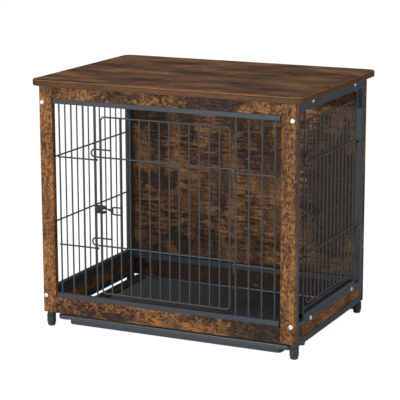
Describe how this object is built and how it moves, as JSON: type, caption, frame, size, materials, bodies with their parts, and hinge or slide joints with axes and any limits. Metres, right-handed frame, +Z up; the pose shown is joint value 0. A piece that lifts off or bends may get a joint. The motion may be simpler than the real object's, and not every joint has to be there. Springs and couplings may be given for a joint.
{
  "type": "dog crate end table",
  "caption": "Dog crate built as an end table: wooden top, front boards and back on a dark steel frame, wire front and side doors, wire side, slide-out floor tray.",
  "frame": {"origin": "centre of the footprint on the floor, under the middle of the table top", "axes": "+X to the right seen from the front door, +Y to the back board, +Z up"},
  "size_m": [0.7, 0.495, 0.616],
  "materials": {
    "wood": "matte laminate with a rustic brown grain",
    "frame_steel": "dark grey powder coat",
    "wire_steel": "dark grey powder coat",
    "screw_steel": "bright zinc plate",
    "tray_plastic": "satin moulded plastic",
    "foot_plastic": "black moulded plastic"
  },
  "bodies": {
    "root": {"top_board": "wood", "front_left_stile": "wood", "front_right_stile": "wood", "front_top_board": "wood", "front_bottom_board": "wood", "back_board": "wood", "left_side_board": "wood", "right_side_board": "wood", "front_left_post": "frame_steel", "front_right_post": "frame_steel", "rear_left_post": "frame_steel", "rear_right_post": "frame_steel", "left_top_rail": "frame_steel", "left_mid_rail": "frame_steel", "left_bottom_rail": "frame_steel", "right_top_rail": "frame_steel", "right_mid_rail": "frame_steel", "right_bottom_rail": "frame_steel", "right_sill": "frame_steel", "front_top_beam": "frame_steel", "front_bottom_beam": "frame_steel", "back_top_beam": "frame_steel", "back_bottom_beam": "frame_steel", "front_top_rail": "frame_steel", "front_bottom_rail": "frame_steel", "tray_runner_left": "frame_steel", "tray_runner_right": "frame_steel", "front_left_wires": "wire_steel", "front_right_wires": "wire_steel", "left_wires": "wire_steel", "front_screws": "screw_steel", "back_screws": "screw_steel", "left_side_screws": "screw_steel", "right_side_screws": "screw_steel", "top_screws": "screw_steel", "front_left_foot": "foot_plastic", "front_right_foot": "foot_plastic", "rear_left_foot": "foot_plastic", "rear_right_foot": "foot_plastic", "right_front_wires": "wire_steel", "right_rear_wires": "wire_steel", "right_sill_wire": "wire_steel"},
    "front_door_body": {"front_door": "wire_steel", "front_latch_plate": "wire_steel"},
    "front_bolt_body": {"front_latch_bolt": "wire_steel"},
    "side_door_body": {"side_door": "wire_steel", "side_latch_plate": "wire_steel"},
    "side_bolt_body": {"side_latch_bolt": "wire_steel"},
    "tray_body": {"tray": "tray_plastic"},
    "front_left_glide_body": {"front_left_glide": "foot_plastic"},
    "front_right_glide_body": {"front_right_glide": "foot_plastic"},
    "rear_left_glide_body": {"rear_left_glide": "foot_plastic"},
    "rear_right_glide_body": {"rear_right_glide": "foot_plastic"}
  },
  "joints": [
    {"name": "front_door_hinge", "type": "hinge", "parent": "root", "child": "front_door_body", "pos_m": [0.1805, -0.2336, 0.3], "axis": [0, 0, 1], "range_deg": [0, 170]},
    {"name": "side_door_hinge", "type": "hinge", "parent": "root", "child": "side_door_body", "pos_m": [0.3323, 0.16495, 0.3], "axis": [0, 0, 1], "range_deg": [0, 170]},
    {"name": "front_latch_slide", "type": "slide", "parent": "front_door_body", "child": "front_bolt_body", "axis": [-1, 0, 0], "range_m": [0, 0.0165]},
    {"name": "side_latch_slide", "type": "slide", "parent": "side_door_body", "child": "side_bolt_body", "axis": [0, -1, 0], "range_m": [0, 0.0165]},
    {"name": "tray_slide", "type": "slide", "parent": "root", "child": "tray_body", "axis": [0, -1, 0], "range_m": [0, 0.33]},
    {"name": "front_left_glide_screw", "type": "slide", "parent": "root", "child": "front_left_glide_body", "axis": [0, 0, -1], "range_m": [0, 0.006]},
    {"name": "front_right_glide_screw", "type": "slide", "parent": "root", "child": "front_right_glide_body", "axis": [0, 0, -1], "range_m": [0, 0.006]},
    {"name": "rear_left_glide_screw", "type": "slide", "parent": "root", "child": "rear_left_glide_body", "axis": [0, 0, -1], "range_m": [0, 0.006]},
    {"name": "rear_right_glide_screw", "type": "slide", "parent": "root", "child": "rear_right_glide_body", "axis": [0, 0, -1], "range_m": [0, 0.006]}
  ]
}
